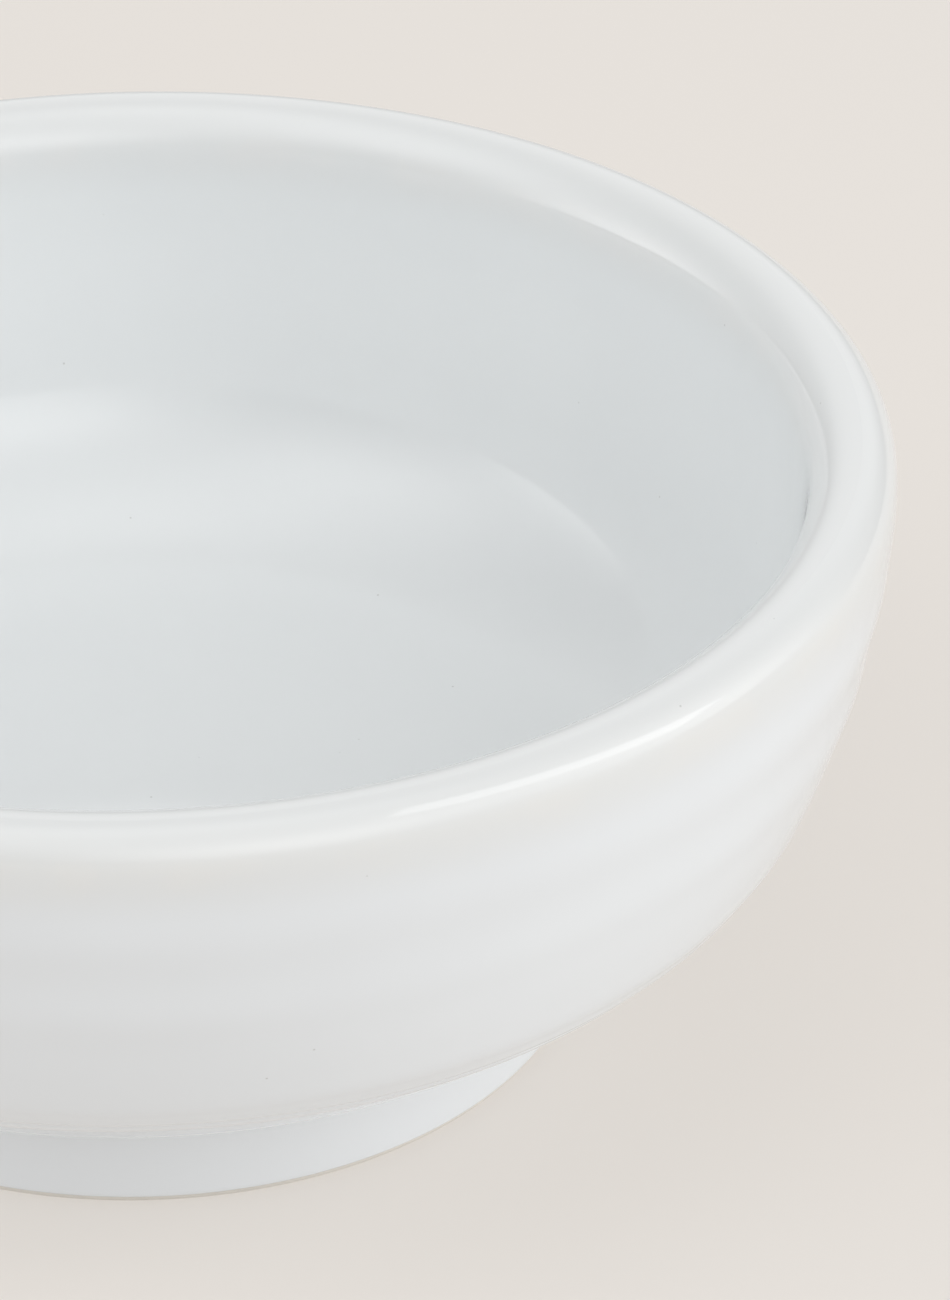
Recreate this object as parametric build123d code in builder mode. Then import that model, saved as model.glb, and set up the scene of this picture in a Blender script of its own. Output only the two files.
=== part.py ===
from build123d import *
import os

os.makedirs("parts", exist_ok=True)

# A glazed porcelain shaving bowl: a thick round bowl standing on a plain foot ring.
# Millimetres, +Z up, the standing face of the foot on Z = 0, the bowl's axis on the Z axis.
# Every piece is turned about that axis, as the real bowl is turned on a wheel.

# overall sizes, measured over the glaze
bowl_diameter = 120.0
bowl_height = 49.4
glaze_thickness = 0.4

# foot ring
foot_diameter = 71.0
foot_height = 9.5
foot_width = 5.6
foot_draft = 0.4
foot_edge_radius = 0.4
bare_foot_band = 0.6

# rim: a fat roll, a little wider towards the inside than towards the outside
rim_thickness = 7.1
rim_outer_share = 0.41
rim_outer_drop = 3.4
rim_inner_drop = 4.7

# thickness of the clay under the middle of the bowl
base_thickness = 4.2

# derived sizes of the fired clay under the glaze
clay_radius = bowl_diameter / 2 - glaze_thickness
clay_top = bowl_height - glaze_thickness
foot_radius = foot_diameter / 2 - glaze_thickness
foot_inner_radius = foot_radius - foot_width
widest_height = clay_top - rim_outer_drop
clay_rim_thickness = rim_thickness - 2 * glaze_thickness
crest_radius = clay_radius - clay_rim_thickness * rim_outer_share
inner_radius = clay_radius - clay_rim_thickness
inner_edge_height = clay_top - rim_inner_drop
floor_height = foot_height + base_thickness

# outside of the wall: share of the way out from the foot to the widest level,
# and share of the way up from the foot joint to the widest level
outer_shares = [
    (0.288, 0.064),
    (0.508, 0.170),
    (0.707, 0.300),
    (0.837, 0.459),
    (0.914, 0.636),
    (0.969, 0.815),
]
outer_tangents = [(1.0, 0.22), (0, 1.0)]

# inside of the wall: share of the inner radius, and share of the way up from the floor
inner_shares = [
    (0.993, 0.781),
    (0.963, 0.585),
    (0.936, 0.422),
    (0.895, 0.275),
    (0.828, 0.144),
    (0.700, 0.040),
    (0.520, 0.004),
    (0.260, 0.0),
]
inner_tangents = [(0, -1.0), (-1.0, 0)]

# clay outside, from the foot joint up to the widest level
clay_run = clay_radius - foot_radius
clay_rise = widest_height - foot_height
clay_outer = [(foot_radius + out * clay_run, foot_height + up * clay_rise) for out, up in outer_shares]
clay_outer = [(foot_radius, foot_height)] + clay_outer + [(clay_radius, widest_height)]

# glazed outside, the same line one coat further out
bowl_radius = bowl_diameter / 2
glazed_foot_radius = foot_diameter / 2
glazed_joint_height = foot_height - glaze_thickness
glaze_run = bowl_radius - glazed_foot_radius
glaze_rise = widest_height - glazed_joint_height
glazed_outer = [
    (glazed_foot_radius + out * glaze_run, glazed_joint_height + up * glaze_rise) for out, up in outer_shares
]
glazed_outer = [(glazed_foot_radius, glazed_joint_height)] + glazed_outer + [(bowl_radius, widest_height)]

# clay inside, from the rim's inner edge down to the middle of the floor
clay_depth = inner_edge_height - floor_height
clay_inner = [(share * inner_radius, floor_height + up * clay_depth) for share, up in inner_shares]
clay_inner = [(inner_radius, inner_edge_height)] + clay_inner + [(0, floor_height)]

# glazed inside, the same line one coat further in
glazed_inner_radius = inner_radius - glaze_thickness
glazed_floor = floor_height + glaze_thickness
glazed_depth = inner_edge_height - glazed_floor
glazed_inner = [(share * glazed_inner_radius, glazed_floor + up * glazed_depth) for share, up in inner_shares]
glazed_inner = [(glazed_inner_radius, inner_edge_height)] + glazed_inner + [(0, glazed_floor)]

# radii of the foot ring's inner face, which flares a little towards the standing face
foot_mouth_radius = foot_inner_radius + foot_draft
wiped_radius = foot_mouth_radius - foot_draft * bare_foot_band / foot_height

# clay bowl: wall, rim and base in one turned piece, flat underneath where the foot sits
with BuildSketch(Plane.XZ) as body_section:
    with BuildLine():
        Line((0, foot_height), (foot_radius, foot_height))
        Spline(clay_outer, tangents=outer_tangents)
        EllipticalCenterArc(
            (crest_radius, widest_height),
            clay_radius - crest_radius,
            clay_top - widest_height,
            start_angle=0,
            arc_size=90,
        )
        EllipticalCenterArc(
            (crest_radius, inner_edge_height),
            crest_radius - inner_radius,
            clay_top - inner_edge_height,
            start_angle=90,
            arc_size=90,
        )
        Spline(clay_inner, tangents=inner_tangents)
        Line((0, floor_height), (0, foot_height))
    make_face()

with BuildPart() as bowl_body:
    add(body_section.sketch)
    revolve(axis=Axis.Z)
bowl_body.part.label = "bowl_body"

# foot ring: a plain ring with its inner face drafted, luted to the flat underside of the bowl
with BuildSketch(Plane.XZ) as foot_section:
    with BuildLine():
        Polyline(
            (foot_inner_radius, foot_height),
            (foot_mouth_radius, 0),
            (foot_radius, 0),
            (foot_radius, foot_height),
            close=True,
        )
    make_face()
    standing_corners = foot_section.vertices().group_by(Axis.Z)[0]
    fillet(standing_corners, radius=foot_edge_radius)

with BuildPart() as foot_ring:
    add(foot_section.sketch)
    revolve(axis=Axis.Z)
foot_ring.part.label = "foot_ring"

# inside coat: poured in and out, from the crest of the rim to the floor
with BuildSketch(Plane.XZ) as inner_coat:
    with BuildLine():
        Line((crest_radius, clay_top), (crest_radius, bowl_height))
        EllipticalCenterArc(
            (crest_radius, inner_edge_height),
            crest_radius - glazed_inner_radius,
            bowl_height - inner_edge_height,
            start_angle=90,
            arc_size=90,
        )
        Spline(glazed_inner, tangents=inner_tangents)
        Line((0, glazed_floor), (0, floor_height))
        Spline(clay_inner, tangents=inner_tangents)
        EllipticalCenterArc(
            (crest_radius, inner_edge_height),
            crest_radius - inner_radius,
            clay_top - inner_edge_height,
            start_angle=90,
            arc_size=90,
        )
    make_face()

with BuildPart() as inner_glaze:
    add(inner_coat.sketch)
    revolve(axis=Axis.Z)
inner_glaze.part.label = "inner_glaze"

# outside coat: from the crest of the rim down the wall and the foot, wiped off the standing edge
with BuildSketch(Plane.XZ) as outer_coat:
    with BuildLine():
        Line((crest_radius, clay_top), (crest_radius, bowl_height))
        EllipticalCenterArc(
            (crest_radius, widest_height),
            bowl_radius - crest_radius,
            bowl_height - widest_height,
            start_angle=0,
            arc_size=90,
        )
        Spline(glazed_outer, tangents=outer_tangents)
        Polyline(
            (glazed_foot_radius, glazed_joint_height),
            (glazed_foot_radius, bare_foot_band),
            (foot_radius, bare_foot_band),
            (foot_radius, foot_height),
        )
        Spline(clay_outer, tangents=outer_tangents)
        EllipticalCenterArc(
            (crest_radius, widest_height),
            clay_radius - crest_radius,
            clay_top - widest_height,
            start_angle=0,
            arc_size=90,
        )
    make_face()

with BuildPart() as outer_glaze:
    add(outer_coat.sketch)
    revolve(axis=Axis.Z)
outer_glaze.part.label = "outer_glaze"

# coat in the hollow under the base, wiped off the standing edge on its own side
with BuildSketch(Plane.XZ) as well_coat:
    with BuildLine():
        Polyline(
            (0, foot_height),
            (foot_inner_radius, foot_height),
            (wiped_radius, bare_foot_band),
            (wiped_radius - glaze_thickness, bare_foot_band),
            (foot_inner_radius - glaze_thickness, glazed_joint_height),
            (0, glazed_joint_height),
            close=True,
        )
    make_face()

with BuildPart() as well_glaze:
    add(well_coat.sketch)
    revolve(axis=Axis.Z)
well_glaze.part.label = "well_glaze"

export_step(bowl_body.part, "parts/bowl_body.step")
export_step(foot_ring.part, "parts/foot_ring.step")
export_step(inner_glaze.part, "parts/inner_glaze.step")
export_step(outer_glaze.part, "parts/outer_glaze.step")
export_step(well_glaze.part, "parts/well_glaze.step")
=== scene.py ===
import math
import bmesh
import bpy
from mathutils import Matrix, Vector, noise


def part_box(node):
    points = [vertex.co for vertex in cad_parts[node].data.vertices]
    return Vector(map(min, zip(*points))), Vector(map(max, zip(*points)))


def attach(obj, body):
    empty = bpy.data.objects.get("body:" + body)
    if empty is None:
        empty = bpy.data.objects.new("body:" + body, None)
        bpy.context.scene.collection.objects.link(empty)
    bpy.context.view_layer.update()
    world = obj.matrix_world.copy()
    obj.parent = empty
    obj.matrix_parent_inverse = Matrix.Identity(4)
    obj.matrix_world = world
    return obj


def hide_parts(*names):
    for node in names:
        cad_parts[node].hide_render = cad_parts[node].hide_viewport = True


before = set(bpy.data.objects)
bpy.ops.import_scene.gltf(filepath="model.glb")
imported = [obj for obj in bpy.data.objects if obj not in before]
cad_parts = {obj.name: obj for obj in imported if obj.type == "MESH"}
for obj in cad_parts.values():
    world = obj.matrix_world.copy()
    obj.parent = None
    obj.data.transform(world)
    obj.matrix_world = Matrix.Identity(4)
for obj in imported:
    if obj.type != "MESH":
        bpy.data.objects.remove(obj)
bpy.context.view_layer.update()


# The room: a seamless pale table among broad soft pools of light, brightest low on the left, and a long
# softbox on the right whose highlight lies along the rim. The camera looks down into the bowl.
camera_place = (0.0, -0.4736, 0.3169)
camera_dip = 31.359
camera_turn = 3.254
camera_lens = 192.37

camera_data = bpy.data.cameras.new("camera")
camera_data.lens = camera_lens
camera_data.sensor_width = 36.0
camera_data.clip_start = 0.01
camera = bpy.data.objects.new("camera", camera_data)
camera.location = camera_place
camera.rotation_euler = (math.radians(90.0 - camera_dip), 0.0, math.radians(-camera_turn))
bpy.context.scene.collection.objects.link(camera)
bpy.context.scene.camera = camera
bpy.context.scene.view_settings.view_transform = "Standard"

# each pool's bearing from the front towards the right and its rise above the table, in degrees, and
# its brightness
light_pools = [
    (90, 5, 1.6),
    (270, 5, 3.0),
    (20, 27, 2.2),
    (70, 27, 1.5),
    (160, 27, 1.1),
    (200, 27, 1.1),
    (300, 50, 1.8),
    (0, 90, 1.2),
]
pool_focus = 11.0

room = bpy.data.worlds.new("room")
room.use_nodes = True
room_nodes, room_links = room.node_tree.nodes, room.node_tree.links
looking = room_nodes.new("ShaderNodeTexCoord").outputs["Generated"]


def room_step(operation, *feeds):
    """one step in working out the room's brightness, fed by numbers or by earlier steps"""
    step = room_nodes.new("ShaderNodeMath")
    step.operation = operation
    for socket, feed in zip(step.inputs, feeds):
        if isinstance(feed, float):
            socket.default_value = feed
        else:
            room_links.new(feed, socket)
    return step.outputs["Value"]


glow = 0.0
for bearing, rise, brightness in light_pools:
    turn, lift = math.radians(bearing), math.radians(rise)
    facing = room_nodes.new("ShaderNodeVectorMath")
    facing.operation = "DOT_PRODUCT"
    facing.inputs[1].default_value = (
        math.cos(lift) * math.sin(turn), -math.cos(lift) * math.cos(turn), math.sin(lift),
    )
    room_links.new(looking, facing.inputs[0])
    ahead = room_step("MAXIMUM", facing.outputs["Value"], 0.0)
    glow = room_step("MULTIPLY_ADD", room_step("POWER", ahead, pool_focus), brightness, glow)
backdrop = room_nodes["Background"]
backdrop.inputs["Color"].default_value = (1.0, 1.0, 1.0, 1.0)
room_links.new(glow, backdrop.inputs["Strength"])
bpy.context.scene.world = room

softbox_distance = 0.9
softbox_aim = Vector((0.03, -0.03, 0.045))
softbox_data = bpy.data.lights.new("softbox", "AREA")
softbox_data.shape = "RECTANGLE"
softbox_data.size = 0.79
softbox_data.size_y = 0.22
softbox_data.energy = 1.1
softbox_face = Vector((0.748, -0.265, 0.609)).normalized()
softbox_slope = Vector((0.576, 0.376, -0.543))
softbox_across = softbox_face.cross(softbox_slope).normalized()
softbox_along = softbox_across.cross(softbox_face)
softbox = bpy.data.objects.new("softbox", softbox_data)
softbox.location = softbox_face * softbox_distance + softbox_aim
softbox.rotation_euler = Matrix((softbox_along, softbox_across, softbox_face)).transposed().to_euler()
bpy.context.scene.collection.objects.link(softbox)

table_reach = 4.0
table = bpy.data.meshes.new("table")
table_shape = bmesh.new()
bmesh.ops.create_grid(table_shape, x_segments=1, y_segments=1, size=table_reach)
table_shape.to_mesh(table)
table_shape.free()
table_top = bpy.data.objects.new("table_top", table)
bpy.context.scene.collection.objects.link(table_top)

card = bpy.data.materials.new("table_card")
card.use_nodes = True
card_shader = card.node_tree.nodes["Principled BSDF"]
card_shader.inputs["Base Color"].default_value = (0.330, 0.311, 0.291, 1.0)
card_shader.inputs["Roughness"].default_value = 0.9
card_shader.inputs["Specular IOR Level"].default_value = 0.1
card_shader.inputs["Emission Color"].default_value = (1.0, 0.955, 0.905, 1.0)
card_shader.inputs["Emission Strength"].default_value = 0.46
table.materials.append(card)


# The outside glaze: clear glass over white porcelain, from the crest of the rim down the wall and the
# foot. The bowl was held by its rim and dipped, and its standing edge was wiped clean. Three faint
# throwing ridges run round the wall, and one fine turned line low down.
mm = 0.001
coat_thickness = 0.4
wheel_steps = 288
outer_low, outer_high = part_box("outer_glaze")
bowl_radius = outer_high[0] / mm
bowl_height = outer_high[2] / mm
glaze_edge_height = outer_low[2] / mm
rim_crest_radius = 57.1
foot_side_radius = 35.5

rim_roll = [
    (rim_crest_radius, bowl_height), (58.0, bowl_height - 0.05), (59.0, 48.6), (59.6, 47.8),
    (bowl_radius + 0.05, 46.5),
]
wall_side = [(59.9, 42.3), (57.7, 30.6), (54.8, 22.7), (53.64, 21.1)]
turned_line = [
    (53.10, 20.11), (52.78, 19.66), (52.12, 19.31), (51.90, 19.01), (51.72, 18.50), (51.0, 17.9),
]
wall_underside = [(50.0, 17.0), (45.0, 12.9), (40.0, 9.9), (36.8, 9.5), (35.7, 9.3)]
foot_side = [
    (foot_side_radius, 8.0), (foot_side_radius, 5.0), (foot_side_radius, 2.0),
    (foot_side_radius, glaze_edge_height + 0.25), (35.38, glaze_edge_height), (35.12, glaze_edge_height),
]
outer_line = rim_roll + wall_side + turned_line + wall_underside + foot_side
outer_back = [
    (35.1, 9.5), (44.8, 13.25), (51.4, 18.8), (54.5, 23.2), (57.2, 31.0), (59.3, 42.3), (59.5, 46.4),
    (59.1, 47.7), (58.6, 48.4), (57.9, 48.9), (rim_crest_radius, bowl_height - coat_thickness),
]


def wheel_template(name, pull_points, fineness):
    """the smooth line that a part of the bowl is turned to, as a bmesh of joined edges"""
    line = bpy.data.curves.new(name, "CURVE")
    line.dimensions = "3D"
    run = line.splines.new("NURBS")
    run.points.add(len(pull_points) - 1)
    for point, (radius, height) in zip(run.points, pull_points):
        point.co = (radius * mm, 0.0, height * mm, 1.0)
    run.order_u = 4
    run.use_endpoint_u = True
    run.resolution_u = fineness
    holder = bpy.data.objects.new(name, line)
    drawn = bpy.data.meshes.new_from_object(holder)
    shape = bmesh.new()
    shape.from_mesh(drawn)
    bpy.data.objects.remove(holder)
    bpy.data.curves.remove(line)
    bpy.data.meshes.remove(drawn)
    shape.verts.ensure_lookup_table()
    return shape


def level_crest(shape, crest):
    """a hair of level surface at the crest, so that the two coats meet there without a crease"""
    level_share = 0.1
    hair = bmesh.utils.edge_split(crest.link_edges[0], crest, level_share)[1]
    hair.co.z = crest.co.z


def back_the_coat(shape, start, stops, end):
    """closes a coat's section along the clay, from the end of its face back to where the face began"""
    at = start
    for radius, height in stops:
        at = bmesh.ops.extrude_vert_indiv(shape, verts=[at])["verts"][0]
        at.co = (radius * mm, 0.0, height * mm)
    shape.edges.new((at, end))


def throw(shape):
    """spins a section round the bowl's axis and closes its seam and its poles"""
    seam_gap = 2e-7
    bmesh.ops.spin(
        shape, geom=shape.verts[:] + shape.edges[:], cent=(0, 0, 0), axis=(0, 0, 1),
        angle=math.tau, steps=wheel_steps, use_merge=True,
    )
    bmesh.ops.remove_doubles(shape, verts=shape.verts[:], dist=seam_gap)
    bmesh.ops.recalc_face_normals(shape, faces=shape.faces[:])


def finger_marks(shape, crests, depth, lowest, highest):
    """the faint ridges that the thrower's fingers left, never quite level and never quite even"""
    pole_reach = 1e-5
    low_fade, high_fade = 5.0, 3.0
    tilt, tilt_turns, tilt_climb = 0.7, 1.3, 0.02
    sway_start, sway_turns, sway_climb = 4.0, 2.1, 0.05
    swelling, swelling_drift = 0.8, 0.6
    unevenness = 0.05
    for vert in shape.verts:
        height = vert.co.z / mm
        reach = math.hypot(vert.co.x, vert.co.y)
        if reach < pole_reach:
            continue
        around = Vector((vert.co.x, vert.co.y, 0.0)) / reach
        rising = min(max((height - lowest) / low_fade, 0.0), 1.0)
        dying = min(max((highest - height) / high_fade, 0.0), 1.0)
        fade = rising * dying
        wander = tilt * noise.noise(around * tilt_turns + Vector((0.0, 0.0, height * tilt_climb)))
        swell = sum(math.exp(-(((height - crest - wander) / width) ** 2)) for crest, width in crests)
        sway = noise.noise(around * sway_turns + Vector((sway_start, 0.0, height * sway_climb)))
        push = depth * swell * (swelling + swelling_drift * sway) + unevenness * sway
        vert.co.x += around.x * push * fade * mm
        vert.co.y += around.y * push * fade * mm


def finish_piece(name, shape, material, node):
    """smooth faces with crisp corners, one object at the origin, standing for its CAD node"""
    crisp_corner = math.radians(40.0)
    for face in shape.faces:
        face.smooth = True
    for edge in shape.edges:
        if len(edge.link_faces) == 2:
            edge.smooth = edge.calc_face_angle() < crisp_corner
    mesh = bpy.data.meshes.new(name)
    shape.to_mesh(mesh)
    shape.free()
    mesh.materials.append(material)
    piece = bpy.data.objects.new(name, mesh)
    bpy.context.scene.collection.objects.link(piece)
    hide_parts(node)
    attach(piece, "root")


def porcelain_glaze(name, body, thick, crest, warm, seed):
    """white porcelain under a glossy clear glaze: paler where the coat is thicker, darker and greyer on
    the crest of the rim as painted shade, a warmer streaked band on its shoulder, pinholes greyed in
    painted shade, and a skin that is not quite flat"""
    glaze = bpy.data.materials.new(name)
    glaze.use_nodes = True
    nodes, links = glaze.node_tree.nodes, glaze.node_tree.links
    shader = nodes["Principled BSDF"]
    shader.inputs["IOR"].default_value = 1.5
    place = nodes.new("ShaderNodeTexCoord")
    shift = nodes.new("ShaderNodeMapping")
    shift.inputs["Location"].default_value = (seed, seed * 0.7, seed * 1.3)
    links.new(place.outputs["Object"], shift.inputs["Vector"])
    spot = shift.outputs["Vector"]

    def cloud(scale, detail):
        node = nodes.new("ShaderNodeTexNoise")
        node.inputs["Scale"].default_value = scale
        node.inputs["Detail"].default_value = detail
        links.new(spot, node.inputs["Vector"])
        return node.outputs["Fac"]

    def spread(value, low, high, to_low=0.0, to_high=1.0):
        node = nodes.new("ShaderNodeMapRange")
        node.interpolation_type = "SMOOTHSTEP"
        node.inputs["From Min"].default_value = low
        node.inputs["From Max"].default_value = high
        node.inputs["To Min"].default_value = to_low
        node.inputs["To Max"].default_value = to_high
        links.new(value, node.inputs["Value"])
        return node.outputs["Result"]

    def times(one, other):
        node = nodes.new("ShaderNodeMath")
        node.operation = "MULTIPLY"
        for socket, value in zip(node.inputs, (one, other)):
            if isinstance(value, float):
                socket.default_value = value
            else:
                links.new(value, socket)
        return node.outputs["Value"]

    def blend(amount, under, over):
        node = nodes.new("ShaderNodeMix")
        node.data_type = "RGBA"
        links.new(amount, node.inputs["Factor"])
        for socket, colour in (("A", under), ("B", over)):
            if isinstance(colour, tuple):
                node.inputs[socket].default_value = colour
            else:
                links.new(colour, node.inputs[socket])
        return node.outputs["Result"]

    drift_scale, streak_scale, sheen_scale, skin_scale = 32.0, 150.0, 55.0, 230.0
    slow_drift = spread(cloud(drift_scale, 3.0), 0.35, 0.65)
    tone = blend(slow_drift, body, thick)

    parts = nodes.new("ShaderNodeSeparateXYZ")
    links.new(place.outputs["Object"], parts.inputs["Vector"])
    height = parts.outputs["Z"]
    crest_shade_starts, crest_shade_full = 0.0415, 0.0475
    # painted shade: the rim's crest is painted darker and greyer, as it gets none of the table's warm
    # light
    tone = blend(spread(height, crest_shade_starts, crest_shade_full), tone, crest)
    shoulder_starts, shoulder_full, shoulder_fades, shoulder_gone = 0.0435, 0.0462, 0.0466, 0.0481
    shoulder_below = spread(height, shoulder_starts, shoulder_full)
    shoulder_above = spread(height, shoulder_gone, shoulder_fades)
    shoulder = times(shoulder_below, shoulder_above)
    streaks = spread(cloud(streak_scale, 3.0), 0.42, 0.62)
    warm_share = 0.22
    tone = blend(times(times(shoulder, streaks), warm_share), tone, warm)

    cells = nodes.new("ShaderNodeTexVoronoi")
    cells.inputs["Scale"].default_value = 230.0
    links.new(spot, cells.inputs["Vector"])
    pinhole_reach, pinhole_core = 0.03, 0.012
    pinholes = spread(cells.outputs["Distance"], pinhole_reach, pinhole_core)
    # the pinholes are dented by the bump below, and their grey is painted shade in the tiny pits
    pinhole_shade_share, pinhole_shade_grey = 0.5, (0.45, 0.45, 0.44, 1.0)
    tone = blend(times(pinholes, pinhole_shade_share), tone, pinhole_shade_grey)
    links.new(tone, shader.inputs["Base Color"])

    glossiest, dullest = 0.05, 0.10
    sheen_patches = spread(cloud(sheen_scale, 2.0), 0.3, 0.7, glossiest, dullest)
    links.new(sheen_patches, shader.inputs["Roughness"])

    skin = nodes.new("ShaderNodeBump")
    skin.inputs["Strength"].default_value = 0.08
    skin.inputs["Distance"].default_value = 0.00012
    links.new(cloud(skin_scale, 2.0), skin.inputs["Height"])
    dent = nodes.new("ShaderNodeBump")
    dent.invert = True
    dent.inputs["Strength"].default_value = 0.2
    dent.inputs["Distance"].default_value = 0.0001
    links.new(pinholes, dent.inputs["Height"])
    links.new(skin.outputs["Normal"], dent.inputs["Normal"])
    links.new(dent.outputs["Normal"], shader.inputs["Normal"])
    return glaze


ridges = [(39.9, 2.1), (32.9, 2.1), (21.8, 2.2)]
outer_shape = wheel_template("outer_line", outer_line, 10)
outer_crest, outer_edge = outer_shape.verts[0], outer_shape.verts[-1]
level_crest(outer_shape, outer_crest)
back_the_coat(outer_shape, outer_edge, outer_back, outer_crest)
throw(outer_shape)
finger_marks(outer_shape, ridges, depth=0.18, lowest=14.0, highest=46.0)
outside_glaze = porcelain_glaze(
    "outside_glaze",
    body=(0.782, 0.810, 0.836, 1.0),
    thick=(0.792, 0.822, 0.848, 1.0),
    # crest colour: painted shade, darker and greyer than the wall, for the rim's top
    crest=(0.748, 0.761, 0.759, 1.0),
    warm=(0.80, 0.785, 0.755, 1.0),
    seed=0.0,
)
finish_piece("outer_coat", outer_shape, outside_glaze, "outer_glaze")


# The inside glaze: poured in, swilled round and poured out, so it runs from the crest of the rim down
# an even wall to the flat floor of the well. Below the rim it is cooler in tone, and its crest is painted
# darker and greyer, as painted shade.
inner_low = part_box("inner_glaze")[0]
well_floor = inner_low[2] / mm + coat_thickness
inner_line = [
    (rim_crest_radius, bowl_height), (55.6, bowl_height - 0.05), (54.3, 48.4), (53.15, 46.8), (52.9, 44.2),
    (52.4, 38.6), (50.3, 30.2), (48.2, 22.6), (42.6, 17.3), (35.5, well_floor + 0.1), (25.0, well_floor),
    (12.0, well_floor), (0.0, well_floor),
]
inner_back = [
    (0.0, well_floor - 0.3), (24.0, 13.8), (35.5, 14.2), (43.7, 18.0), (47.6, 22.4), (49.7, 27.0),
    (51.2, 32.0), (52.8, 38.0), (53.2, 44.7), (53.6, 46.4), (54.2, 47.4), (55.0, 48.3), (56.0, 48.9),
    (rim_crest_radius, bowl_height - coat_thickness),
]
inner_shape = wheel_template("inner_line", inner_line, 14)
inner_crest, inner_middle = inner_shape.verts[0], inner_shape.verts[-1]
level_crest(inner_shape, inner_crest)
back_the_coat(inner_shape, inner_middle, inner_back, inner_crest)
throw(inner_shape)
inside_glaze = porcelain_glaze(
    "inside_glaze",
    body=(0.784, 0.805, 0.811, 1.0),
    thick=(0.796, 0.817, 0.821, 1.0),
    # crest colour: painted shade, darker and greyer than the wall, for the rim's top
    crest=(0.748, 0.761, 0.759, 1.0),
    warm=(0.79, 0.775, 0.76, 1.0),
    seed=3.1,
)
finish_piece("inner_coat", inner_shape, inside_glaze, "inner_glaze")


# The foot ring: a plain ring of the same porcelain, turned, luted under the bowl and ground level on
# its standing edge, the only place where the clay is left bare.
foot_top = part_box("foot_ring")[1][2] / mm
foot_edge_round = 0.35
foot_section = [(29.6, foot_top), (29.85, 0.0), (35.1, 0.0), (35.1, foot_top)]
foot_shape = bmesh.new()
corners = [foot_shape.verts.new((radius * mm, 0.0, height * mm)) for radius, height in foot_section]
for one, other in zip(corners, corners[1:] + corners[:1]):
    foot_shape.edges.new((one, other))
bmesh.ops.bevel(
    foot_shape, geom=corners[1:3], offset=foot_edge_round * mm, segments=6, profile=0.5,
    affect="VERTICES", material=-1,
)
throw(foot_shape)


def fired_clay(name, pale_grain, dark_grain):
    """bare porcelain, matt and finely grained in two close tones"""
    clay = bpy.data.materials.new(name)
    clay.use_nodes = True
    nodes, links = clay.node_tree.nodes, clay.node_tree.links
    shader = nodes["Principled BSDF"]
    place = nodes.new("ShaderNodeTexCoord")
    grain = nodes.new("ShaderNodeTexNoise")
    grain.inputs["Scale"].default_value = 900.0
    grain.inputs["Detail"].default_value = 4.0
    links.new(place.outputs["Object"], grain.inputs["Vector"])
    tone = nodes.new("ShaderNodeMix")
    tone.data_type = "RGBA"
    tone.inputs["A"].default_value = pale_grain
    tone.inputs["B"].default_value = dark_grain
    links.new(grain.outputs["Fac"], tone.inputs["Factor"])
    links.new(tone.outputs["Result"], shader.inputs["Base Color"])
    shader.inputs["Roughness"].default_value = 0.75
    tooth = nodes.new("ShaderNodeBump")
    tooth.inputs["Strength"].default_value = 0.3
    tooth.inputs["Distance"].default_value = 0.00005
    links.new(grain.outputs["Fac"], tooth.inputs["Height"])
    links.new(tooth.outputs["Normal"], shader.inputs["Normal"])
    return clay


foot_clay = fired_clay("foot_clay", (0.74, 0.715, 0.66, 1.0), (0.66, 0.635, 0.59, 1.0))
finish_piece("standing_ring", foot_shape, foot_clay, "foot_ring")


# The clay of the bowl itself, white porcelain, covered all over by its coats and its foot.
body_clay = fired_clay("porcelain_body", (0.76, 0.74, 0.69, 1.0), (0.72, 0.70, 0.65, 1.0))
for slot in bpy.data.objects["bowl_body"].material_slots:
    slot.material = body_clay


# The glaze in the hollow under the base, thick in the corner where it ran while the bowl stood upside
# down, and wiped off the standing edge.
hollow_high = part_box("well_glaze")[1]
ceiling = hollow_high[2] / mm - coat_thickness
hollow_line = [
    (0.0, ceiling - 0.1), (9.0, ceiling - 0.1), (20.0, ceiling), (26.6, ceiling), (28.7, ceiling - 0.3),
    (29.15, ceiling - 2.2), (29.3, 4.5), (29.4, 2.0), (29.45, glaze_edge_height + 0.25),
    (29.6, glaze_edge_height), (29.82, glaze_edge_height),
]
hollow_back = [(29.6, foot_top), (0.0, foot_top)]
hollow_shape = wheel_template("hollow_line", hollow_line, 8)
hollow_middle, hollow_edge = hollow_shape.verts[0], hollow_shape.verts[-1]
back_the_coat(hollow_shape, hollow_edge, hollow_back, hollow_middle)
throw(hollow_shape)
hollow_glaze = porcelain_glaze(
    "hollow_glaze",
    body=(0.76, 0.785, 0.78, 1.0),
    thick=(0.77, 0.797, 0.793, 1.0),
    crest=(0.765, 0.777, 0.774, 1.0),
    warm=(0.79, 0.765, 0.72, 1.0),
    seed=7.7,
)
finish_piece("hollow_coat", hollow_shape, hollow_glaze, "well_glaze")
